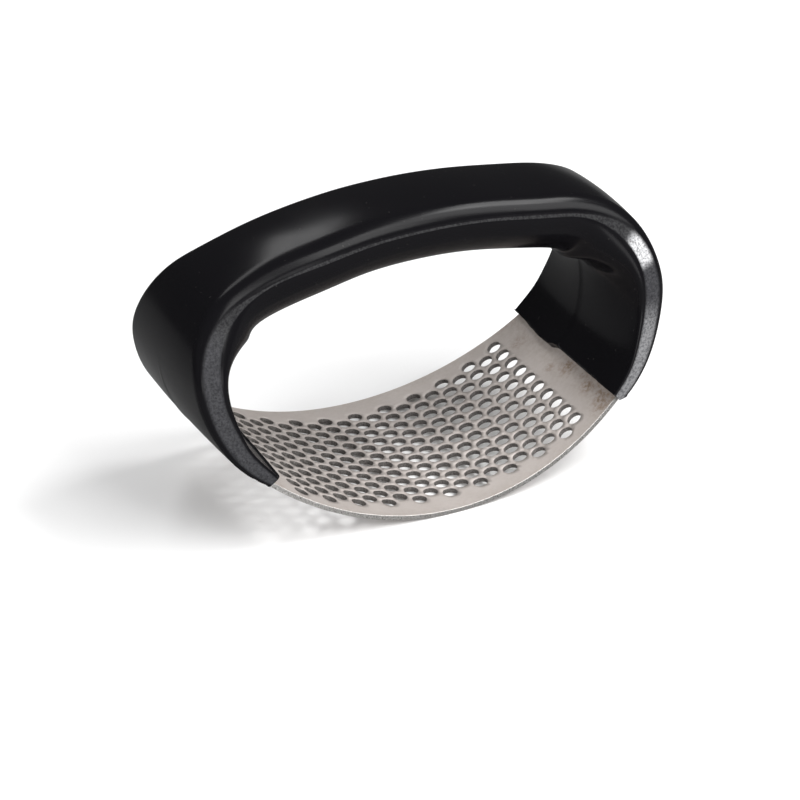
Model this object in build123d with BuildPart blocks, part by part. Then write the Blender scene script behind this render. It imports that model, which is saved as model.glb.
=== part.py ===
"""Rocker garlic press: a curved perforated plate held in a two-part arched handle.

Units are millimetres. +X runs along the press, +Y across it, +Z up. The origin is under the
middle of the plate, at the lowest point of its underside, which is what the press rests on.
"""

import os
from collections import namedtuple
from math import atan2, cos, degrees, radians, sin, sqrt

from build123d import *

# ---- Perforated plate ------------------------------------------------------------------------
PLATE_INNER_RADIUS = 60.0
PLATE_THICKNESS = 1.0
PLATE_HALF_WIDTH = 25.5  # at mid-length
PLATE_END_HALF_WIDTH = 21.4  # where it enters the handle
HOLE_DIAMETER = 3.0
HOLE_PITCH = 4.0  # nearest neighbours, 60 degree stagger
HOLE_COLUMNS = 20
HOLES_PER_COLUMN = 10
HOLE_OVERCUT = 2.0  # how far the hole tools run past both faces of the plate

# The tongue at each end of the plate: lengths along the arc from mid-length, and half-widths
SHOULDER_START = 42.0  # where the full-width plate ends, against the handle's tips
HEAD_START = 46.5
TONGUE_END = 51.0
NECK_HALF_WIDTH = 11.0
HEAD_HALF_WIDTH = 15.0
POCKET_CLEARANCE = 0.05

# ---- Handle ----------------------------------------------------------------------------------
HANDLE_HEIGHT = 60.8  # crown of the top, above the origin
# The left side sits a little lower and turns in a little sooner than the right one. The shoulder
# height is that of the widest point, where shoulder and leg meet.
Side = namedtuple("Side", "sign half_length shoulder_height shoulder_radius leg_radius")
RIGHT = Side(1, 52.5, 37.5, 19.0, 30.5)
LEFT = Side(-1, 52.2, 36.8, 18.0, 27.0)
LIP_RADIUS = 64.0  # from the plate's axis: beyond the lips of the tips, under the plate
LIP_START = 46.5  # the lip's slanted end meets that radius here, as a length along the arc
SEAM_Y = 2.0  # the halves meet a little behind the middle

# One cross-section of the handle. The angle is that of the outward normal in the XZ plane, 90 at
# the crown and 0 at the widest point. Half-widths are those of the outer and inner face, the
# thickness is that at mid-width, the side is the height of the flank, and the crown is the rise
# of the outer face from its edges to its middle.
Section = namedtuple("Section", "angle outer_w inner_w thickness side crown outer_r inner_r")
SECTIONS = [
    Section(-62, 21.8, 22.4, 3.2, 2.2, 0.4, 0.5, 0.3),
    Section(-50, 21.4, 22.0, 4.6, 3.6, 0.4, 0.8, 0.3),
    Section(-39, 20.7, 21.3, 5.4, 4.3, 0.4, 1.0, 0.4),
    Section(-28, 19.7, 20.3, 7.0, 5.1, 0.5, 1.2, 0.6),
    Section(-14, 18.3, 19.0, 8.9, 5.7, 0.5, 1.5, 1.0),
    Section(0, 16.8, 18.0, 11.0, 6.1, 0.5, 1.7, 1.4),
    Section(18, 14.7, 16.9, 13.6, 6.3, 0.6, 2.3, 2.3),
    Section(36, 12.9, 15.5, 15.3, 6.6, 0.6, 3.0, 3.6),
    Section(54, 11.7, 14.0, 15.9, 6.5, 0.7, 3.7, 4.8),
    Section(70, 11.1, 12.9, 15.2, 6.1, 0.8, 4.1, 5.6),
    Section(79, 10.9, 12.3, 14.6, 5.8, 0.8, 4.2, 5.8),
    Section(84.5, 10.8, 12.0, 14.2, 5.7, 0.8, 4.2, 5.8),
    Section(90, 10.8, 11.9, 14.1, 5.7, 0.8, 4.2, 5.8),
]

# Pegs of the front half and their sockets in the rear half: X and Z of each
PEG_DIAMETER = 4.0
PEG_LENGTH = 6.0
PEG_CHAMFER = 0.5
SOCKET_CLEARANCE = 0.1
PEG_PLACES = [(-47.0, 36.0), (-18.0, 53.0), (18.0, 53.0), (47.0, 36.0)]

# ---- Derived dimensions ----------------------------------------------------------------------
PLATE_OUTER_RADIUS = PLATE_INNER_RADIUS + PLATE_THICKNESS
AXIS_HEIGHT = PLATE_OUTER_RADIUS  # axis of the plate's curvature, along Y
COLUMN_SPACING = HOLE_PITCH * sqrt(3) / 2


def plate_point(arc_length, radius):
    """X and Z of a point at this arc length and this distance from the plate's axis."""
    angle = arc_length / PLATE_INNER_RADIUS
    return radius * sin(angle), AXIS_HEIGHT - radius * cos(angle)


def curved_sheet(end, clearance=0.0):
    """The plate's arc in the XZ plane, thickened and extruded across the plate's full width."""
    inner_radius = PLATE_INNER_RADIUS - clearance
    outer_radius = PLATE_OUTER_RADIUS + clearance
    with BuildPart() as sheet:
        with BuildSketch(Plane.XZ):
            with BuildLine():
                inner = ThreePointArc(*(plate_point(s, inner_radius) for s in (-end, 0, end)))
                outer = ThreePointArc(*(plate_point(s, outer_radius) for s in (-end, 0, end)))
                Line(inner @ 0, outer @ 0)
                Line(inner @ 1, outer @ 1)
            make_face()
        extrude(amount=PLATE_HALF_WIDTH, both=True)
    return sheet.part


def plan_x(arc_length):
    """X of a point of the plate's inner face, seen from above."""
    return plate_point(arc_length, PLATE_INNER_RADIUS)[0]


def plate_outline(clearance=0.0):
    """The plate seen from above: bowed sides, then shoulder, neck and T-shaped head at each end."""
    shoulder_x = plan_x(SHOULDER_START)
    head_x = plan_x(HEAD_START) - clearance
    head_length = PLATE_INNER_RADIUS - head_x
    with BuildPart() as outline:
        with BuildSketch():
            with BuildLine():
                end_y, middle_y = PLATE_END_HALF_WIDTH, PLATE_HALF_WIDTH
                front = ThreePointArc((-shoulder_x, -end_y), (0, -middle_y), (shoulder_x, -end_y))
                back = ThreePointArc((-shoulder_x, end_y), (0, middle_y), (shoulder_x, end_y))
                Line(front @ 0, back @ 0)
                Line(front @ 1, back @ 1)
            make_face()
            Rectangle(2 * head_x, 2 * (NECK_HALF_WIDTH + clearance))
            with Locations((head_x, 0)):
                Rectangle(head_length, 2 * (HEAD_HALF_WIDTH + clearance), align=(Align.MIN, Align.CENTER))
            with Locations((-head_x, 0)):
                Rectangle(head_length, 2 * (HEAD_HALF_WIDTH + clearance), align=(Align.MAX, Align.CENTER))
        extrude(amount=AXIS_HEIGHT)
    return outline.part


def column_plane(column):
    """A plane just inside the plate, facing outwards through one column of holes."""
    arc_length = COLUMN_SPACING * ((HOLE_COLUMNS - 1) / 2 - column)
    angle = arc_length / PLATE_INNER_RADIUS
    x, z = plate_point(arc_length, PLATE_INNER_RADIUS - HOLE_OVERCUT)
    return Plane(origin=(x, 0, z), x_dir=(0, 1, 0), z_dir=(sin(angle), 0, -cos(angle)))


# ---- Perforated plate ------------------------------------------------------------------------
sheet = curved_sheet(TONGUE_END)
outline = plate_outline()
with BuildPart() as perforated_plate:
    add(sheet)
    add(outline, mode=Mode.INTERSECT)
    for column in range(HOLE_COLUMNS):
        stagger = HOLE_PITCH / 4 * (-1) ** column
        with BuildSketch(column_plane(column)):
            with Locations((stagger, 0)):
                with GridLocations(HOLE_PITCH, HOLE_PITCH, HOLES_PER_COLUMN, 1):
                    Circle(HOLE_DIAMETER / 2)
        extrude(amount=PLATE_THICKNESS + 2 * HOLE_OVERCUT, mode=Mode.SUBTRACT)


# ---- Handle, before it is divided ------------------------------------------------------------
def top_radius(side):
    """Radius of the top arc that runs tangent into this side's shoulder."""
    across, turn = side.half_length - side.shoulder_radius, side.shoulder_radius
    rise = HANDLE_HEIGHT - side.shoulder_height
    return (across**2 + rise**2 - turn**2) / (2 * (rise - turn))


def outer_point(angle, side):
    """X and Z of the handle's outer face at mid-width, by the angle of its normal."""
    across, up = cos(radians(angle)), sin(radians(angle))
    shoulder_x, top = side.half_length - side.shoulder_radius, top_radius(side)
    shoulder_end = degrees(atan2(side.shoulder_height - (HANDLE_HEIGHT - top), shoulder_x))
    if angle >= shoulder_end:
        x, z = top * across, HANDLE_HEIGHT - top * (1 - up)
    elif angle >= 0:
        x = shoulder_x + side.shoulder_radius * across
        z = side.shoulder_height + side.shoulder_radius * up
    else:
        x = side.half_length - side.leg_radius * (1 - across)
        z = side.shoulder_height + side.leg_radius * up
    return side.sign * x, z


def section_plane(section, side):
    """The plane of a cross-section: local x runs across the press, local y into the handle."""
    x, z = outer_point(section.angle, side)
    across, up = cos(radians(section.angle)), sin(radians(section.angle))
    return Plane(origin=(x, 0, z), x_dir=(0, 1, 0), z_dir=(-up, 0, side.sign * across))


def cross_section(section, side):
    """One cross-section: crowned outer face, straight flanks, bulging inner face, round corners."""
    outer_w, inner_w, inner_edge = section.outer_w, section.inner_w, section.crown + section.side
    with BuildSketch(section_plane(section, side)) as profile:
        with BuildLine():
            outside = ThreePointArc((-outer_w, section.crown), (0, 0), (outer_w, section.crown))
            inside = ThreePointArc((-inner_w, inner_edge), (0, section.thickness), (inner_w, inner_edge))
            Line(outside @ 0, inside @ 0)
            Line(outside @ 1, inside @ 1)
        make_face()
        fillet(profile.vertices().sort_by(Axis.Y)[:2], section.outer_r)
        fillet(profile.vertices().sort_by(Axis.Y)[-2:], section.inner_r)
    return profile.sketch


def rocking_window():
    """The space that both tips of the handle stop at: inside the plate's curve and under it."""
    inner_radius = PLATE_INNER_RADIUS * 2 / 3
    right_tip = [
        plate_point(SHOULDER_START, inner_radius),
        plate_point(SHOULDER_START, PLATE_OUTER_RADIUS),
        plate_point(LIP_START, LIP_RADIUS),
        (plate_point(LIP_START, LIP_RADIUS)[0], 0),
    ]
    left_tip = [(-x, z) for x, z in reversed(right_tip)]
    with BuildPart() as window:
        with BuildSketch(Plane.XZ):
            with BuildLine():
                Polyline(*right_tip, *left_tip, close=True)
            make_face()
        extrude(amount=PLATE_HALF_WIDTH, both=True)
    return window.part


window = rocking_window()
pocket_sheet = curved_sheet(TONGUE_END + POCKET_CLEARANCE, POCKET_CLEARANCE)
pocket_outline = plate_outline(POCKET_CLEARANCE)
with BuildPart() as tongue_pockets:
    add(pocket_sheet)
    add(pocket_outline, mode=Mode.INTERSECT)

profiles = [cross_section(section, RIGHT) for section in SECTIONS]
profiles += [cross_section(section, LEFT) for section in SECTIONS[-2::-1]]
with BuildPart() as handle:
    loft(profiles)
    add(window, mode=Mode.SUBTRACT)
    add(tongue_pockets.part, mode=Mode.SUBTRACT)

# ---- The two halves of the handle ------------------------------------------------------------
SEAM = Plane.XZ.offset(-SEAM_Y)  # faces the front

with BuildPart() as handle_front_half:
    add(handle.part)
    split(bisect_by=SEAM, keep=Keep.TOP)
    with BuildSketch(SEAM):
        with Locations(*PEG_PLACES):
            Circle(PEG_DIAMETER / 2)
    extrude(amount=-PEG_LENGTH)
    peg_ends = handle_front_half.edges().filter_by(GeomType.CIRCLE).group_by(Axis.Y)[-1]
    chamfer(peg_ends, PEG_CHAMFER)

with BuildPart() as handle_rear_half:
    add(handle.part)
    split(bisect_by=SEAM, keep=Keep.BOTTOM)
    with BuildSketch(SEAM):
        with Locations(*PEG_PLACES):
            Circle(PEG_DIAMETER / 2 + SOCKET_CLEARANCE)
    extrude(amount=-(PEG_LENGTH + SOCKET_CLEARANCE), mode=Mode.SUBTRACT)

# ---- Export ----------------------------------------------------------------------------------
os.makedirs("parts", exist_ok=True)
for name, piece in (
    ("perforated_plate", perforated_plate),
    ("handle_front_half", handle_front_half),
    ("handle_rear_half", handle_rear_half),
):
    piece.part.label = name
    export_step(piece.part, f"parts/{name}.step")
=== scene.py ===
from math import cos, pi, radians, sin, sqrt

import bpy
import numpy as np
from mathutils import Matrix, Vector, noise
from mathutils.geometry import delaunay_2d_cdt


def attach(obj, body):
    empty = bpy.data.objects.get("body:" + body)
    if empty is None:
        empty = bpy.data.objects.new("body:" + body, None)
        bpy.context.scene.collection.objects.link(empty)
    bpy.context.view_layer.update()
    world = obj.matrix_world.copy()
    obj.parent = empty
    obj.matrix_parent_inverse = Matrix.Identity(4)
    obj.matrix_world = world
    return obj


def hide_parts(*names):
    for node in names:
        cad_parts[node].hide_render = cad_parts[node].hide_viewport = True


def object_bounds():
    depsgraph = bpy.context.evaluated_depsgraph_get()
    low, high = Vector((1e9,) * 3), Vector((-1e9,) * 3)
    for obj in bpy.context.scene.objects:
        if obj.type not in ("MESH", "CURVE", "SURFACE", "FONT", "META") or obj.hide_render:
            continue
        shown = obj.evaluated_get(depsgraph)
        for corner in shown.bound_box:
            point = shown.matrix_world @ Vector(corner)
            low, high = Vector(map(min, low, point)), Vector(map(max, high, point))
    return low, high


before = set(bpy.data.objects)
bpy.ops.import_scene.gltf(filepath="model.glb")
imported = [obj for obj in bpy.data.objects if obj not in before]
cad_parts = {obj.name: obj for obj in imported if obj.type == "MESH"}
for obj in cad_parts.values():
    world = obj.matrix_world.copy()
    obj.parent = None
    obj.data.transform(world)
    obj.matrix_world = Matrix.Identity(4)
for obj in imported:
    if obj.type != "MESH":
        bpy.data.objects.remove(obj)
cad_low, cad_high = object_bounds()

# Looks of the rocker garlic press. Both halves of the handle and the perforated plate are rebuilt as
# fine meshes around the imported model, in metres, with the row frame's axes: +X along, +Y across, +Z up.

MM = 0.001

# ---- Sizes that come from the frame ----------------------------------------------------------
LEFT_LENGTH, RIGHT_LENGTH = -cad_low.x, cad_high.x
HANDLE_HEIGHT = cad_high.z
PLATE_HALF_WIDTH = cad_high.y

# ---- Plate -----------------------------------------------------------------------------------
PLATE_RADIUS = 60 * MM  # inner face
PLATE_THICKNESS = 1 * MM
AXIS_HEIGHT = PLATE_RADIUS + PLATE_THICKNESS
PLATE_END_HALF_WIDTH = 21.4 * MM
SHOULDER_START = 42 * MM  # arc length where the handle's tips begin
HEAD_START = 46.5 * MM
TONGUE_END = 51 * MM
NECK_HALF_WIDTH = 11 * MM
HEAD_HALF_WIDTH = 15 * MM
HOLE_RADIUS = 1.5 * MM
HOLE_PITCH = 4 * MM
HOLE_COLUMNS = 20
HOLES_PER_COLUMN = 10
HOLE_SEGMENTS = 30
# Radius and depth of a hole's wall in millimetres: rolled in at the top, a burr at the bottom
HOLE_WALL = [(1.55, 0.0), (1.51, 0.02), (1.50, 0.06), (1.50, 0.92), (1.53, 0.94), (1.58, 1.0)]
SHEET_STEP = 1 * MM  # between points of the mesh away from the holes
EDGE_ROLL = 0.06 * MM  # rounding of the sheared edge

# ---- Handle ----------------------------------------------------------------------------------
# Length from the middle, height of the widest point, radius of the shoulder and of the leg
RIGHT_SIDE = np.array([RIGHT_LENGTH, 37.5 * MM, 19 * MM, 30.5 * MM])
LEFT_SIDE = np.array([LEFT_LENGTH, 36.8 * MM, 18 * MM, 27 * MM])
TIP_RAGGEDNESS = 0.16 * MM
TIP_STEP = 0.8 * MM  # the rear half's edge on the plate stands forward of the front half's
LIP_RUN = 4.5 * MM  # the lip's slanted end: how far it runs along the plate
LIP_DEPTH = 3 * MM  # and how far below the plate's underside
SEAM_Y = 2 * MM

# Cross-sections in millimetres: angle of the outward normal, half-width of the outer and inner
# face, thickness, height of the flank, crown of the outer face, radii of outer and inner corner
SECTIONS = np.array([
    (-62, 21.8, 22.4, 3.2, 2.2, 0.4, 0.5, 0.3),
    (-50, 21.4, 22.0, 4.6, 3.6, 0.4, 0.8, 0.3),
    (-39, 20.7, 21.3, 5.4, 4.3, 0.4, 1.0, 0.4),
    (-28, 19.7, 20.3, 7.0, 5.1, 0.5, 1.2, 0.6),
    (-14, 18.3, 19.0, 8.9, 5.7, 0.5, 1.5, 1.0),
    (0, 16.8, 18.0, 11.0, 6.1, 0.5, 1.7, 1.4),
    (18, 14.7, 16.9, 13.6, 6.3, 0.6, 2.3, 2.3),
    (36, 12.9, 15.5, 15.3, 6.6, 0.6, 3.0, 3.6),
    (54, 11.7, 14.0, 15.9, 6.5, 0.7, 3.7, 4.8),
    (70, 11.1, 12.9, 15.2, 6.1, 0.8, 4.1, 5.6),
    (79, 10.9, 12.3, 14.6, 5.8, 0.8, 4.2, 5.8),
    (84.5, 10.8, 12.0, 14.2, 5.7, 0.8, 4.2, 5.8),
    (90, 10.8, 11.9, 14.1, 5.7, 0.8, 4.2, 5.8),
])
LEG_STATION = 4  # the section from which rings follow the shape of the tip
FACE_STEPS, CORNER_STEPS, FLANK_STEPS, SEAM_STEPS, TIP_STEPS = 30, 10, 14, 6, 6
ARCH_RINGS = 300
LEG_RINGS = 54
HANDLE_SHARP, SHEET_SHARP = 34, 20  # degrees between faces from which an edge is sharp
INNER_TIP_ROUNDING = 0.35 * MM
OUTER_TIP_ROUNDING = 0.15 * MM
SEAM_ROUNDING = 0.10 * MM
FLASH_WIDTH, FLASH_HEIGHT = 0.35 * MM, 0.12 * MM
SINK_DEPTH, CRINKLE_DEPTH = 0.02 * MM, 0.055 * MM
SHEET_WAVE = 0.02 * MM


def smooth_step(value, start, end):
    """0 at start, 1 at end, smooth between; works on numbers and arrays."""
    t = np.clip((value - start) / (end - start), 0, 1)
    return t * t * (3 - 2 * t)


def mesh_object(name, points, faces, face_materials, materials, sharp_degrees):
    """A smooth-shaded mesh object from arrays, with sharp edges where faces meet steeply."""
    mesh = bpy.data.meshes.new(name)
    mesh.from_pydata([tuple(p) for p in points], [], faces)
    for material in materials:
        mesh.materials.append(material)
    mesh.polygons.foreach_set("material_index", face_materials)
    mesh.polygons.foreach_set("use_smooth", [True] * len(mesh.polygons))
    mesh.update()
    mesh.set_sharp_from_angle(angle=radians(sharp_degrees))
    piece = bpy.data.objects.new(name, mesh)
    bpy.context.scene.collection.objects.link(piece)
    return piece


def add_weight(piece, name, values):
    """A number at each vertex, for the material to read."""
    attribute = piece.data.attributes.new(name, "FLOAT", "POINT")
    attribute.data.foreach_set("value", np.asarray(values, np.float32))


# ---- Node helpers ----------------------------------------------------------------------------
class Nodes:
    """Short calls for building one material's nodes. Lengths are in millimetres of the object."""

    def __init__(self, name):
        self.material = bpy.data.materials.new(name)
        self.material.use_nodes = True
        self.tree = self.material.node_tree
        self.shader = self.tree.nodes["Principled BSDF"]
        coordinates = self.tree.nodes.new("ShaderNodeTexCoord")
        scale = self.tree.nodes.new("ShaderNodeVectorMath")
        scale.operation = "SCALE"
        self.tree.links.new(coordinates.outputs["Object"], scale.inputs[0])
        scale.inputs["Scale"].default_value = 1 / MM
        self.place = scale.outputs[0]

    def link(self, source, target):
        self.tree.links.new(source, target)

    def noise(self, size, detail=3.0, roughness=0.5, place=None):
        node = self.tree.nodes.new("ShaderNodeTexNoise")
        node.inputs["Scale"].default_value = 1 / size
        node.inputs["Detail"].default_value = detail
        node.inputs["Roughness"].default_value = roughness
        self.link(place or self.place, node.inputs["Vector"])
        return node.outputs["Fac"]

    def stretched(self, x, y, z):
        node = self.tree.nodes.new("ShaderNodeVectorMath")
        node.operation = "MULTIPLY"
        node.inputs[1].default_value = (x, y, z)
        self.link(self.place, node.inputs[0])
        return node.outputs[0]

    def ramp(self, source, *stops):
        """Maps a number through stops (position, value), values as greys or colours."""
        node = self.tree.nodes.new("ShaderNodeValToRGB")
        ramp = node.color_ramp
        while len(ramp.elements) < len(stops):
            ramp.elements.new(0.5)
        for element, (position, value) in zip(ramp.elements, stops):
            element.position = position
            element.color = (*value, 1) if isinstance(value, tuple) else (value, value, value, 1)
        self.link(source, node.inputs["Fac"])
        return node.outputs["Color"]

    def math(self, operation, first, second):
        node = self.tree.nodes.new("ShaderNodeMath")
        node.operation = operation
        for socket, value in zip(node.inputs, (first, second)):
            if isinstance(value, (int, float)):
                socket.default_value = value
            else:
                self.link(value, socket)
        return node.outputs[0]

    def mix(self, factor, first, second):
        node = self.tree.nodes.new("ShaderNodeMix")
        node.data_type = "RGBA"
        for socket, value in zip((node.inputs[0], node.inputs[6], node.inputs[7]), (factor, first, second)):
            if isinstance(value, tuple):
                socket.default_value = (*value, 1)
            elif isinstance(value, (int, float)):
                socket.default_value = value
            else:
                self.link(value, socket)
        return node.outputs[2]

    def weight(self, name):
        node = self.tree.nodes.new("ShaderNodeAttribute")
        node.attribute_name = name
        return node.outputs["Fac"]

    def bump(self, height, distance, strength=1.0, before=None):
        node = self.tree.nodes.new("ShaderNodeBump")
        node.inputs["Distance"].default_value = distance
        self.link(height, node.inputs["Height"])
        if isinstance(strength, (int, float)):
            node.inputs["Strength"].default_value = strength
        else:
            self.link(strength, node.inputs["Strength"])
        if before:
            self.link(before, node.inputs["Normal"])
        return node.outputs["Normal"]


# ---- Materials -------------------------------------------------------------------------------
def black_plastic():
    """Semi-gloss moulded plastic: fine grain on the flanks, and a crinkled strip coloured white, partly by
    scuffing and partly as a painted highlight.
    """
    n = Nodes("black_plastic")
    grain, scuff, white = n.weight("grain"), n.weight("scuff"), n.weight("white")
    smears = n.ramp(n.noise(9, 2), (0.3, 0.17), (0.7, 0.22))
    rough = n.mix(grain, smears, (0.50, 0.50, 0.50))
    crinkle_gloss = n.ramp(n.noise(0.8, 3), (0.42, 0.10), (0.62, 0.40))
    n.link(n.mix(scuff, rough, crinkle_gloss), n.shader.inputs["Roughness"])

    mottle = n.ramp(n.noise(0.55, 4, 0.6), (0.35, (0.007, 0.007, 0.009)), (0.65, (0.022, 0.022, 0.026)))
    dust = n.ramp(n.noise(0.7, 1), (0.765, 0.0), (0.80, 1.0))
    base = n.mix(grain, (0.0045, 0.0043, 0.0052), mottle)
    # Painted highlight: the crinkled strip's upper band is coloured near white where the front-right lamp
    # glints on it; lower down the lighter colour is partly scuff whitening, partly painted reflection. Specks
    # break it up.
    glint_and_scuff_specks = n.ramp(n.noise(0.45, 4, 0.7), (0.40, 0.35), (0.58, 1.0))
    base = n.mix(n.math("MULTIPLY", white, glint_and_scuff_specks), base, (0.62, 0.62, 0.63))
    n.link(n.mix(n.math("MULTIPLY", dust, 0.10), base, (0.20, 0.19, 0.18)), n.shader.inputs["Base Color"])

    skin = n.bump(n.noise(0.35, 2), 0.003 * MM)
    eroded = n.bump(n.noise(0.40, 4, 0.65), 0.05 * MM, grain, skin)
    crinkled = n.bump(n.noise(0.75, 3, 0.55), 0.25 * MM, scuff, eroded)
    n.link(crinkled, n.shader.inputs["Normal"])
    n.shader.inputs["IOR"].default_value = 1.5
    n.shader.inputs["Specular IOR Level"].default_value = 0.12
    return n.material


def satin_steel():
    """Cold-rolled stainless sheet: warm grey, faint rolling lines, fine specks and brown tarnish."""
    n = Nodes("satin_steel")
    clouds = n.ramp(n.noise(7, 4), (0.3, (0.43, 0.39, 0.365)), (0.7, (0.48, 0.44, 0.415)))
    specks = n.ramp(n.noise(0.45, 4, 0.7), (0.62, 0.0), (0.76, 1.0))
    tone = n.mix(n.math("MULTIPLY", specks, 0.35), clouds, (0.33, 0.28, 0.25))
    patches = n.ramp(n.noise(0.9, 5, 0.7), (0.42, 0.25), (0.60, 1.0))
    tarnish = n.math("MULTIPLY", patches, n.weight("tarnish"))
    tone = n.mix(tarnish, tone, (0.22, 0.15, 0.10))
    n.link(tone, n.shader.inputs["Base Color"])

    lines = n.noise(0.5, 3, 0.6, n.stretched(0.06, 1, 0.06))
    satin = n.ramp(lines, (0.3, 0.56), (0.7, 0.64))
    n.link(n.mix(tarnish, satin, (0.7, 0.7, 0.7)), n.shader.inputs["Roughness"])
    rolled = n.bump(lines, 0.002 * MM)
    n.link(n.bump(n.noise(0.8, 4), 0.004 * MM, 1.0, rolled), n.shader.inputs["Normal"])
    n.shader.inputs["Metallic"].default_value = 0.2
    return n.material


def sheared_steel():
    """The cut edge of the sheet: bright and torn, with vertical scores."""
    n = Nodes("sheared_steel")
    torn = n.noise(0.28, 4, 0.7)
    tone = n.ramp(torn, (0.35, (0.42, 0.40, 0.38)), (0.65, (0.82, 0.80, 0.78)))
    n.link(tone, n.shader.inputs["Base Color"])
    n.link(n.ramp(torn, (0.35, 0.25), (0.65, 0.5)), n.shader.inputs["Roughness"])
    n.link(n.bump(torn, 0.12 * MM), n.shader.inputs["Normal"])
    n.shader.inputs["Metallic"].default_value = 1.0
    return n.material


def punched_steel():
    """The wall of a punched hole: coloured darker than the sheet as painted shade inside the holes, smeared
    along the punch's travel.
    """
    n = Nodes("punched_steel")
    smear = n.noise(0.3, 3, 0.6)
    # Painted shade: these dark tones stand in for the shade inside the holes.
    tone = n.ramp(smear, (0.3, (0.11, 0.10, 0.095)), (0.7, (0.30, 0.28, 0.265)))
    n.link(tone, n.shader.inputs["Base Color"])
    n.link(n.ramp(smear, (0.3, 0.35), (0.7, 0.55)), n.shader.inputs["Roughness"])
    n.link(n.bump(smear, 0.03 * MM), n.shader.inputs["Normal"])
    n.shader.inputs["Metallic"].default_value = 0.6
    return n.material


def studio_floor():
    """Matt white table. It is dimmer in reflections, which keeps the black plastic black."""
    n = Nodes("studio_floor")
    tone = n.ramp(n.noise(60, 2), (0.3, 0.86), (0.7, 0.89))
    path = n.tree.nodes.new("ShaderNodeLightPath")
    mirrored = n.math("MULTIPLY", path.outputs["Is Glossy Ray"], 0.75)
    n.link(n.mix(mirrored, tone, (0.0, 0.0, 0.0)), n.shader.inputs["Base Color"])
    n.shader.inputs["Roughness"].default_value = 0.9
    n.shader.inputs["Specular IOR Level"].default_value = 0.0
    return n.material


# ---- Perforated plate ------------------------------------------------------------------------
def bend(arc_length, y, depth):
    """A point of the flat sheet rolled onto the plate's curve; depth is below the inner face."""
    angle, radius = arc_length / PLATE_RADIUS, PLATE_RADIUS + depth
    return radius * sin(angle), y, AXIS_HEIGHT - radius * cos(angle)


def plate_edge(arc_length):
    """Half-width of the plate: seen from above, its long edges are bowed arcs."""
    chord = PLATE_RADIUS * sin(SHOULDER_START / PLATE_RADIUS)
    bow = PLATE_HALF_WIDTH - PLATE_END_HALF_WIDTH
    radius = (chord**2 + bow**2) / (2 * bow)
    x = PLATE_RADIUS * sin(arc_length / PLATE_RADIUS)
    return PLATE_HALF_WIDTH - radius + sqrt(radius**2 - x**2)


def sheet_outline(inset):
    """The flat sheet's outline, counter-clockwise, with the tongues that the handle hides."""
    steps = round(2 * SHOULDER_START / SHEET_STEP)
    along = [SHOULDER_START * (2 * i / steps - 1) for i in range(steps + 1)]
    tongue = [
        (SHOULDER_START, NECK_HALF_WIDTH),
        (HEAD_START, NECK_HALF_WIDTH),
        (HEAD_START, HEAD_HALF_WIDTH),
        (TONGUE_END, HEAD_HALF_WIDTH),
    ]
    half = [(s, -(plate_edge(s) - inset)) for s in along]
    half += [(s, -y) for s, y in tongue] + [(s, y) for s, y in reversed(tongue)]
    return half + [(-s, -y) for s, y in half]


def hole_centres():
    """Arc length and Y of the 200 holes, in columns that are staggered by half a pitch."""
    spacing = HOLE_PITCH * sqrt(3) / 2
    return [
        (
            spacing * ((HOLE_COLUMNS - 1) / 2 - column),
            HOLE_PITCH * (row - (HOLES_PER_COLUMN - 1) / 2) + HOLE_PITCH / 4 * (-1) ** column,
        )
        for column in range(HOLE_COLUMNS)
        for row in range(HOLES_PER_COLUMN)
    ]


def inside_sheet(s, y):
    """True if a flat point is on the sheet, holes left aside."""
    s, y = abs(s), abs(y)
    if s < SHOULDER_START:
        return y < plate_edge(s)
    if s < HEAD_START:
        return y < NECK_HALF_WIDTH
    return s < TONGUE_END and y < HEAD_HALF_WIDTH


def sheet_face(centres):
    """Triangles of one face of the flat sheet: outline first, then hole rims, then filling."""
    rim = HOLE_WALL[0][0] * MM
    points, edges = list(sheet_outline(EDGE_ROLL)), []
    loops = [range(len(points))]
    turns = [2 * pi * i / HOLE_SEGMENTS for i in range(HOLE_SEGMENTS)]
    for s, y in centres:
        loops.append(range(len(points), len(points) + HOLE_SEGMENTS))
        points += [(s + rim * cos(t), y + rim * sin(t)) for t in turns]
    for loop in loops:
        edges += [(loop[i], loop[(i + 1) % len(loop)]) for i in range(len(loop))]
    middles = np.array(centres)
    for i in range(round(2 * TONGUE_END / SHEET_STEP) + 1):
        s = i * SHEET_STEP - TONGUE_END
        for j in range(round(2 * PLATE_HALF_WIDTH / SHEET_STEP) + 1):
            y = j * SHEET_STEP - PLATE_HALF_WIDTH
            clear = np.hypot(middles[:, 0] - s, middles[:, 1] - y).min() > rim + SHEET_STEP * 0.45
            grown = [(s + a * SHEET_STEP / 2, y + b * SHEET_STEP / 2) for a in (-1, 1) for b in (-1, 1)]
            if clear and all(inside_sheet(*p) for p in grown):
                points.append((s, y))
    scaled = [Vector((s / MM, y / MM)) for s, y in points]
    made, _, triangles, *_ = delaunay_2d_cdt(scaled, edges, [], 0, 1e-5)
    assert len(made) == len(points)
    kept = []
    for triangle in triangles:
        s, y = (sum(made[i][k] for i in triangle) / 3 * MM for k in (0, 1))
        in_hole = np.hypot(middles[:, 0] - s, middles[:, 1] - y).min() < HOLE_RADIUS
        if inside_sheet(s, y) and not in_hole:
            kept.append(tuple(triangle))
    return points, loops, kept


TARNISH = [  # arc length, y, radius in mm, strength: by the right tip and the front corner
    (40.3, -3.5, 1.6, 1.0),
    (40.0, -12.5, 1.5, 0.9),
    (40.8, -17.5, 1.4, 0.9),
    (39.0, -19.5, 2.2, 0.7),
    (37.0, 14.5, 1.3, 0.7),
    (37.5, 1.0, 0.8, 0.8),
    (41.3, -9.0, 1.0, 0.5),
    (-40.5, 8.0, 2.5, 0.6),
]


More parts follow.
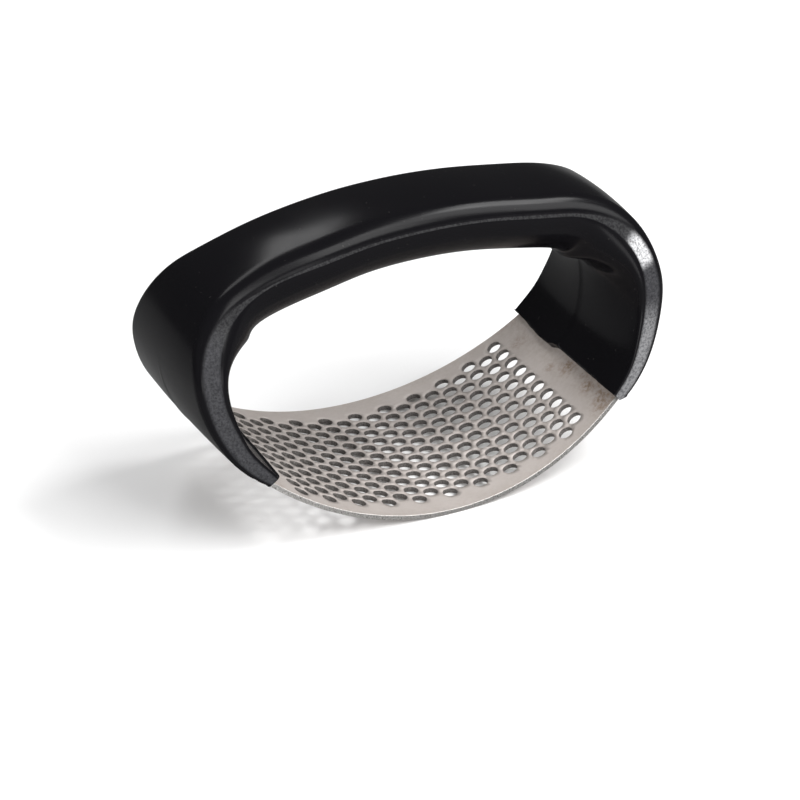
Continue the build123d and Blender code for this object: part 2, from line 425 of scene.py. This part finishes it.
def tarnish_at(s, y):
    """How tarnished the sheet may be here: in spots, and faintly by the tips and along the edges."""
    by_tip = 0.22 * float(smooth_step(abs(s), 34 * MM, 41 * MM))
    by_edge = 0.12 * float(smooth_step(abs(y) - plate_edge(min(abs(s), SHOULDER_START)), -4 * MM, 0))
    spots = sum(
        strength * np.exp(-((s / MM - at) ** 2 + (y / MM - across) ** 2) / radius**2)
        for at, across, radius, strength in TARNISH
    )
    return min(1.0, 0.06 + by_tip + by_edge + spots)


def perforated_plate():
    centres = hole_centres()
    points, loops, triangles = sheet_face(centres)
    wavy = [SHEET_WAVE * (noise.noise(Vector((s, y, 0)) / (11 * MM)) - 1) for s, y in points]
    count = len(points)
    solid = [bend(s, y, wave) for (s, y), wave in zip(points, wavy)]
    solid += [bend(s, y, PLATE_THICKNESS + wave) for (s, y), wave in zip(points, wavy)]
    flat = points * 2
    faces = [t for t in triangles] + [tuple(i + count for i in reversed(t)) for t in triangles]
    materials = [0] * len(faces)

    def wall(rings, material):
        """Quads between neighbouring rings of vertex numbers, from the inner face to the outer."""
        for upper, lower in zip(rings, rings[1:]):
            for i in range(len(upper)):
                j = (i + 1) % len(upper)
                faces.append((upper[i], lower[i], lower[j], upper[j]))
                materials.append(material)

    def ring(places, depth):
        """Adds a ring of vertices at one depth and returns their numbers."""
        start = len(solid)
        solid.extend(bend(s, y, depth) for s, y in places)
        flat.extend(places)
        return range(start, start + len(places))

    outline = sheet_outline(0)
    upper, lower = EDGE_ROLL, PLATE_THICKNESS - EDGE_ROLL
    edge = [list(loops[0]), ring(outline, upper), ring(outline, PLATE_THICKNESS / 2), ring(outline, lower)]
    wall(edge + [[i + count for i in loops[0]]], 1)
    for (s, y), rim in zip(centres, loops[1:]):
        turns = [2 * pi * i / HOLE_SEGMENTS for i in range(HOLE_SEGMENTS)]
        rings = [list(rim)]
        for radius, depth in HOLE_WALL[1:-1]:
            places = [(s + radius * MM * cos(t), y + radius * MM * sin(t)) for t in turns]
            rings.append(ring(places, depth * MM))
        rings.append([i + count for i in rim])
        wall([list(reversed(r)) for r in rings], 2)
    piece = mesh_object(
        "steel_plate", solid, faces, materials, [satin_steel(), sheared_steel(), punched_steel()], SHEET_SHARP
    )
    add_weight(piece, "tarnish", [tarnish_at(s, y) for s, y in flat])
    return piece


# ---- Handle ----------------------------------------------------------------------------------
def natural_cubic(x, y, at):
    """Values at `at` of the natural cubic spline through y at x; y may hold a whole row for each x."""
    step, size = np.diff(x), len(x)
    rise = np.diff(y, axis=0) / step.reshape(-1, *[1] * (y.ndim - 1))
    system = np.eye(size)
    for i in range(1, size - 1):
        system[i, i - 1 : i + 2] = step[i - 1], 2 * (step[i - 1] + step[i]), step[i]
    right = np.zeros_like(y)
    right[1:-1] = 6 * np.diff(rise, axis=0)
    bent = np.linalg.solve(system, right.reshape(size, -1)).reshape(y.shape)
    k = np.clip(np.searchsorted(x, at) - 1, 0, size - 2)
    spread = [-1] + [1] * (y.ndim - 1)
    a, b, h = ((x[k + 1] - at).reshape(spread), (at - x[k]).reshape(spread), step[k].reshape(spread))
    return (
        (bent[k] * a**3 + bent[k + 1] * b**3) / (6 * h)
        + (y[k] / h - bent[k] * h / 6) * a
        + (y[k + 1] / h - bent[k + 1] * h / 6) * b
    )


MIRRORED = SECTIONS[-2::-1] * np.array([-1, 1, 1, 1, 1, 1, 1, 1]) + np.array([180, 0, 0, 0, 0, 0, 0, 0])
STATIONS = np.vstack([SECTIONS, MIRRORED])


def outer_line(angle):
    """X and Z of the outer face at mid-width, by the angle of its normal, 0 right to 180 left."""
    left = angle > 90
    folded = np.radians(np.where(left, 180 - angle, angle))
    across, up = np.cos(folded), np.sin(folded)
    length, height, turn, leg = (np.where(left, a, b) for a, b in zip(LEFT_SIDE, RIGHT_SIDE))
    middle, rise = length - turn, HANDLE_HEIGHT - height
    top = (middle**2 + rise**2 - turn**2) / (2 * (rise - turn))
    shoulder_end = np.arctan2(height - (HANDLE_HEIGHT - top), middle)
    on_top, on_leg = folded >= shoulder_end, folded < 0
    x = np.where(on_top, top * across, middle + turn * across)
    z = np.where(on_top, HANDLE_HEIGHT - top * (1 - up), height + turn * up)
    x = np.where(on_leg, length - leg * (1 - across), x)
    z = np.where(on_leg, height + leg * up, z)
    return np.where(left, -x, x), z


def corner_centre(start, along, inward, centre, reach, radius):
    """Centre of the round corner that touches the flank and one face's arc, by (y, depth)."""
    q = [start[i] + radius * inward[i] - centre[i] for i in (0, 1)]
    half = q[0] * along[0] + q[1] * along[1]
    rest = q[0] ** 2 + q[1] ** 2 - (reach - radius) ** 2
    slide = -half + np.sign(half) * np.sqrt(half**2 - rest)
    return [start[i] + radius * inward[i] + slide * along[i] for i in (0, 1)]


def profile_point(part, t, side):
    """(y, depth) on one side of every section; t runs 0 to 1 along the part of the outline."""
    outer_w, inner_w, thickness, flank, crown, outer_r, inner_r = (STATIONS[:, 1:] * MM).T
    bulge = thickness - crown - flank
    outer_reach = (outer_w**2 + crown**2) / (2 * crown)
    inner_reach = (inner_w**2 + bulge**2) / (2 * bulge)
    zero = np.zeros_like(outer_w)
    outer_centre, inner_centre = [zero, outer_reach], [zero, thickness - inner_reach]
    length = np.hypot(inner_w - outer_w, flank)
    along = [(inner_w - outer_w) / length, flank / length]
    inward = [-along[1], along[0]]
    back = [-along[0], -along[1]]
    outer_round = corner_centre([outer_w, crown], along, inward, outer_centre, outer_reach, outer_r)
    inner_round = corner_centre([inner_w, crown + flank], back, inward, inner_centre, inner_reach, inner_r)
    to_outer = np.arctan2(outer_round[1] - outer_reach, outer_round[0])
    to_inner = np.arctan2(inner_round[1] - inner_centre[1], inner_round[0])
    to_flank = np.arctan2(-inward[1], -inward[0])
    if part == "outer":
        first = -np.arccos(SEAM_Y * side / outer_reach)
        turn = first + (to_outer - first) * t
        return outer_reach * np.cos(turn), outer_reach + outer_reach * np.sin(turn)
    if part == "outer_corner":
        turn = to_outer + (to_flank - to_outer) * t
        return outer_round[0] + outer_r * np.cos(turn), outer_round[1] + outer_r * np.sin(turn)
    if part == "flank":
        start = [outer_round[i] - outer_r * inward[i] for i in (0, 1)]
        end = [inner_round[i] - inner_r * inward[i] for i in (0, 1)]
        return start[0] + (end[0] - start[0]) * t, start[1] + (end[1] - start[1]) * t
    if part == "inner_corner":
        turn = to_flank + (to_inner - to_flank) * t
        return inner_round[0] + inner_r * np.cos(turn), inner_round[1] + inner_r * np.sin(turn)
    last = np.arccos(SEAM_Y * side / inner_reach)
    turn = to_inner + (last - to_inner) * t
    return inner_reach * np.cos(turn), inner_centre[1] + inner_reach * np.sin(turn)


OUTLINE = (
    [("outer", i / FACE_STEPS) for i in range(FACE_STEPS)]
    + [("outer_corner", i / CORNER_STEPS) for i in range(CORNER_STEPS)]
    + [("flank", i / FLANK_STEPS) for i in range(FLANK_STEPS)]
    + [("inner_corner", i / CORNER_STEPS) for i in range(CORNER_STEPS)]
    + [("inner", i / FACE_STEPS) for i in range(FACE_STEPS + 1)]
)


def section_points(side):
    """Points of one half's outline at every section: sections by outline by X, Y, Z."""
    angle = STATIONS[:, 0]
    x, z = outer_line(angle)
    across, up = np.cos(np.radians(angle)), np.sin(np.radians(angle))
    lines = []
    for part, t in OUTLINE:
        y, depth = profile_point(part, t, side)
        lines.append(np.stack([x - depth * across, side * y, z - depth * up], -1))
    return np.stack(lines, 1)


def station_lengths(points):
    """Mean length along the handle at each section, which is what the surface is smooth in."""
    apart = np.linalg.norm(np.diff(points, axis=0), axis=2).mean(1)
    return np.concatenate([[0], np.cumsum(apart)])


def tip_reach(y, radius, right):
    """Arc length at which the handle's tip ends, by Y and distance from the plate's axis."""
    slant = np.clip((radius - AXIS_HEIGHT) / LIP_DEPTH, 0, 1) * LIP_RUN
    ragged = np.array([noise.noise(Vector((v / (2.2 * MM), 3.7 * right, 0))) for v in np.ravel(y)])
    wave = TIP_RAGGEDNESS * (ragged.reshape(np.shape(y)) - 0.9)
    step = 0
    if right:
        step = TIP_STEP * (smooth_step(y, 9 * MM, 20 * MM) - smooth_step(y, 3.2 * MM, 5.5 * MM))
    notch = 0.35 * MM * np.exp(-(((y - SEAM_Y) / (0.5 * MM)) ** 2))
    return SHOULDER_START + slant + (wave + step + notch) * (radius < AXIS_HEIGHT)


def polar(points):
    """Arc length and distance from the plate's axis, on the right side."""
    x, z = np.abs(points[..., 0]), points[..., 2]
    return PLATE_RADIUS * np.arctan2(x, AXIS_HEIGHT - z), np.hypot(x, AXIS_HEIGHT - z)


def leg_places(points, lengths, right):
    """Where each line of the outline has the leg's rings, so that the last ring is on the tip."""
    start, end = (LEG_STATION, 0) if right else (len(lengths) - 1 - LEG_STATION, len(lengths) - 1)
    dense = np.linspace(lengths[start], lengths[end], 160)
    surface = natural_cubic(lengths, points, dense)
    rounding = INNER_TIP_ROUNDING * (1 - np.sin(np.linspace(0, pi / 2, TIP_STEPS)))
    columns = []
    for i in range(len(OUTLINE)):
        line = surface[:, i]
        run = np.concatenate([[0], np.cumsum(np.linalg.norm(np.diff(line, axis=0), axis=1))])
        s, radius = polar(line)
        beyond = s - tip_reach(line[:, 1], radius, right)
        first = int(np.argmax(beyond < 0))
        share = beyond[first - 1] / (beyond[first - 1] - beyond[first])
        last = run[first - 1] + share * (run[first] - run[first - 1])
        even = np.linspace(0, last - INNER_TIP_ROUNDING, LEG_RINGS + 1)[1:-1]
        columns.append(np.interp(np.concatenate([even, last - rounding]), run, dense))
    return np.stack(columns, -1)


def half_surface(side):
    """One half's grid of points, rings by outline, with the angle of each ring's section."""
    points = section_points(side)
    lengths = station_lengths(points)
    right, left = (leg_places(points, lengths, on_right) for on_right in (True, False))
    arch = np.linspace(lengths[LEG_STATION], lengths[-1 - LEG_STATION], ARCH_RINGS)
    arch = np.repeat(arch[:, None], len(OUTLINE), 1)
    places = np.vstack([right[::-1], arch, left])
    grid = [natural_cubic(lengths, points[:, i], places[:, i]) for i in range(len(OUTLINE))]
    return np.stack(grid, 1), np.interp(places, lengths, STATIONS[:, 0])


def surface_normals(grid, side):
    """Outward normals of a grid of points, rings by outline."""
    along, around = np.gradient(grid, axis=0), np.gradient(grid, axis=1)
    normal = np.cross(along, around) * side
    return normal / np.linalg.norm(normal, axis=-1, keepdims=True)


def tip_rounded(grid, normals):
    """Rounds the free edges of both tips."""
    bend_in = 1 - np.cos(np.linspace(0, pi / 2, TIP_STEPS))
    parts = np.array([part.startswith("inner") for part, _ in OUTLINE])
    radius = np.where(parts, INNER_TIP_ROUNDING, OUTER_TIP_ROUNDING)
    for step in range(TIP_STEPS):
        for ring in (TIP_STEPS - 1 - step, len(grid) - TIP_STEPS + step):
            grid[ring] -= normals[ring] * (bend_in[step] * radius)[:, None]
    return grid


def seam_shaped(grid, normals, angles, side):
    """Breaks the seam's edges, most on the legs, and leaves a fine flash along the inner one."""
    from_top = np.abs(angles - 90)
    away = np.abs(grid[:, :, 1] - SEAM_Y)
    outer = np.array([part == "outer" for part, _ in OUTLINE])
    inner = np.array([part == "inner" for part, _ in OUTLINE])
    worn = SEAM_ROUNDING * (1 - smooth_step(away, 0, SEAM_ROUNDING * 2))
    move = -worn * outer * smooth_step(from_top, 90, 112)
    if side > 0:
        ridge = 1 - smooth_step(away, FLASH_WIDTH * 0.5, FLASH_WIDTH)
        move = move + FLASH_HEIGHT * ridge * inner * smooth_step(from_top, 50, 75)
    else:
        move = move - worn * inner * smooth_step(from_top, 50, 75)
    return grid + normals * move[:, :, None]


NUBS = [  # angle, y, height, radius: burrs left by moulding and trimming
    (229, 1.6, 0.45, 0.5),
    (97, 10.9, 0.35, 0.4),
    (-50, -21.0, 0.35, 0.5),
    (231, -21.2, 0.35, 0.5),
]


def flaws_added(grid, normals, angles, scuff):
    """Slight sink marks, the crinkled strip and the burrs, moved along the normals."""
    flat = grid.reshape(-1, 3)
    sink = np.array([noise.noise(Vector(p) / (9 * MM)) for p in flat]).reshape(grid.shape[:2])
    fine = np.array([noise.fractal(Vector(p) / (0.9 * MM), 1.0, 2.0, 2) for p in flat])
    move = SINK_DEPTH * (sink - 1) + CRINKLE_DEPTH * fine.reshape(grid.shape[:2]) * scuff
    for angle, y, height, radius in NUBS:
        x, z = outer_line(np.array([float(angle)]))
        outer = np.array([part.startswith("outer") for part, _ in OUTLINE])
        gap = np.hypot(np.hypot(grid[..., 0] - x[0], grid[..., 2] - z[0]), grid[..., 1] - y * MM)
        move = move + height * MM * np.exp(-((gap / (radius * MM)) ** 2)) * outer
    return grid + normals * move[:, :, None]


def flank_weights(angles, side):
    """How grained and crinkled the surface is, and how white it is coloured: a painted highlight where the
    front-right lamp glints on the strip, and partly scuff whitening lower down; as three grids of numbers.
    """
    flank = np.zeros(len(OUTLINE))
    for i, (part, t) in enumerate(OUTLINE):
        if part == "flank":
            flank[i] = min(1, t * 5 + 0.2, (1 - t) * 5 + 0.2)
    grain = flank * smooth_step(np.abs(angles - 90), 42, 66)
    if side > 0:
        return grain, grain * 0, grain * 0
    crinkled = (1 - smooth_step(angles, 32, 42)) * smooth_step(angles, -34, -14)
    # bright: painted highlight band, coloured white where the front-right lamp glints on the strip; dull: the
    # lower strip, partly scuff whitening and partly painted reflection
    bright = smooth_step(angles, 9, 17) * (1 - smooth_step(angles, 31, 41))
    dull = 1 - smooth_step(angles, -22, -6)
    return grain, flank * crinkled, flank * (0.9 * bright + 0.05 * (1 - dull) + 0.30 * dull)


def handle_half(name, side):
    grid, angles = half_surface(side)
    normals = surface_normals(grid, side)
    grain, scuff, white = flank_weights(angles, side)
    grid = flaws_added(grid, normals, angles, scuff)
    grid = seam_shaped(grid, normals, angles, side)
    grid = tip_rounded(grid, normals)
    grid[:, 0, 1] = grid[:, -1, 1] = SEAM_Y
    grid = np.clip(grid, np.array(cad_low), np.array(cad_high))

    rings, lines = grid.shape[:2]
    points = list(grid.reshape(-1, 3))
    number = np.arange(rings * lines).reshape(rings, lines)
    weights = [list(grid_of_weights.ravel()) for grid_of_weights in (grain, scuff, white)]

    def strip(first, last, shape=None):
        """Rows of new vertices between two rows of old ones; returns all rows."""
        rows = [list(first)]
        for step in range(1, SEAM_STEPS):
            row = []
            for a, b in zip(first, last):
                place = points[a] + (points[b] - points[a]) * step / SEAM_STEPS
                row.append(len(points))
                points.append(shape(place) if shape else place)
                for values in weights:
                    values.append(0.0)
            rows.append(row)
        return rows + [list(last)]

    def onto_tip(place):
        """Puts a point of the tip's end face on its slanted or radial plane."""
        radius = polar(place)[1]
        angle = float(tip_reach(place[1], radius, place[0] > 0)) / PLATE_RADIUS
        x, z = np.sign(place[0]) * radius * sin(angle), AXIS_HEIGHT - radius * cos(angle)
        return np.array([x, place[1], z])

    seam = strip(number[:, -1], number[:, 0])
    sheets = [[list(row) for row in number.T], seam]
    half = lines // 2
    for ring, flip in ((0, False), (rings - 1, True)):
        outer_side = list(number[ring, : half + 1])
        inner_side = list(number[ring, ::-1][: half + 1])
        rungs = strip(outer_side, inner_side, onto_tip)
        for k, row in enumerate(seam[1:-1]):
            rungs[SEAM_STEPS - 1 - k][0] = row[ring]
        sheets.append(rungs[::-1] if flip else rungs)

    faces = []
    for sheet in sheets:
        for upper, lower in zip(sheet, sheet[1:]):
            for i in range(len(upper) - 1):
                corners = [upper[i], upper[i + 1], lower[i + 1], lower[i]]
                kept = list(dict.fromkeys(corners))
                if len(kept) > 2:
                    faces.append(kept if side > 0 else kept[::-1])
    piece = mesh_object(name, points, faces, [0] * len(faces), [PLASTIC], HANDLE_SHARP)
    for weight, values in zip(("grain", "scuff", "white"), weights):
        add_weight(piece, weight, values)
    return piece


# ---- Object ----------------------------------------------------------------------------------
PLASTIC = black_plastic()
FRONT, REAR = -1, 1
for piece, node, slot in (
    (perforated_plate(), "perforated_plate", "plate"),
    (handle_half("front_half", FRONT), "handle_front_half", "handle"),
    (handle_half("rear_half", REAR), "handle_rear_half", "handle"),
):
    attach(piece, "root")
    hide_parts(node)

# ---- Studio ----------------------------------------------------------------------------------
FLOOR_HALF = 1.5
FLOOR_CELLS = 24  # along each side
LIGHT_DISTANCE = 0.9


def floor():
    steps = [FLOOR_HALF * (2 * i / FLOOR_CELLS - 1) for i in range(FLOOR_CELLS + 1)]
    points = [(x, y, 0) for y in steps for x in steps]
    row = FLOOR_CELLS + 1
    faces = [
        (i + j * row, i + 1 + j * row, i + 1 + (j + 1) * row, i + (j + 1) * row)
        for j in range(FLOOR_CELLS)
        for i in range(FLOOR_CELLS)
    ]
    return mesh_object("floor", points, faces, [0] * len(faces), [studio_floor()], 30)


def softbox(name, towards, width, height, radiance):
    """An area light aimed at the press from a place given relative to it, in metres."""
    light = bpy.data.lights.new(name, "AREA")
    light.shape = "RECTANGLE"
    light.size, light.size_y = width, height
    light.energy = radiance * pi * width * height
    lamp = bpy.data.objects.new(name, light)
    bpy.context.scene.collection.objects.link(lamp)
    aim = Vector(towards).to_track_quat("Z", "Y").to_matrix().to_4x4()
    place = Matrix.Translation(Vector((0, 0, HANDLE_HEIGHT / 2)) + Vector(towards))
    lamp.matrix_world = place @ aim
    return lamp


def direction(azimuth, elevation):
    """A place around the press. Azimuth 0 is behind it (+Y), 90 at its right (+X)."""
    a, e = radians(azimuth), radians(elevation)
    return LIGHT_DISTANCE * Vector((sin(a) * cos(e), cos(a) * cos(e), sin(e)))


floor()
softbox("right_softbox", direction(104, 55), 0.36, 0.28, 12.0)
softbox("middle_softbox", direction(132, 42), 0.40, 0.66, 5.5)
softbox("front_strip", direction(164, 42), 0.28, 0.50, 7.0)
softbox("low_front_panel", direction(186, 9), 0.56, 0.26, 3.5)
back_strip = softbox("back_strip", (0, 0.60, 0.80), 0.15, 0.95, 5.5)
back_strip.rotation_euler = (0, 0, radians(-30))
left_fill = softbox("left_fill", direction(240, 26), 0.45, 0.45, 6.5)
left_fill.visible_glossy = False

world = bpy.data.worlds.new("studio")
world.use_nodes = True
background = world.node_tree.nodes["Background"]
background.inputs["Color"].default_value = (1.0, 1.0, 1.0, 1)
path = world.node_tree.nodes.new("ShaderNodeLightPath")
fill = world.node_tree.nodes.new("ShaderNodeMapRange")
fill.inputs["To Min"].default_value = 0.3  # light that falls on things
fill.inputs["To Max"].default_value = 0.06  # what mirrors in them
world.node_tree.links.new(path.outputs["Is Glossy Ray"], fill.inputs["Value"])
world.node_tree.links.new(fill.outputs["Result"], background.inputs["Strength"])
bpy.context.scene.world = world
bpy.context.scene.view_settings.view_transform = "Standard"

# ---- Camera ----------------------------------------------------------------------------------
FOCAL_LENGTH, SENSOR_WIDTH = 162.39, 36.0
camera_data = bpy.data.cameras.new("camera")
camera_data.lens = FOCAL_LENGTH
camera_data.sensor_width = SENSOR_WIDTH
camera_data.clip_start, camera_data.clip_end = 0.05, 20
camera = bpy.data.objects.new("camera", camera_data)
bpy.context.scene.collection.objects.link(camera)
RIGHT, DOWN = Vector((0.89934, -0.43699, -0.01513)), Vector((-0.21712, -0.41626, -0.88294))
FORWARD = Vector((0.37954, 0.79735, -0.46924))
turn = Matrix((RIGHT, -DOWN, -FORWARD)).transposed().to_4x4()
camera.matrix_world = Matrix.Translation(Vector((-0.28183, -0.59172, 0.36198))) @ turn
bpy.context.scene.camera = camera
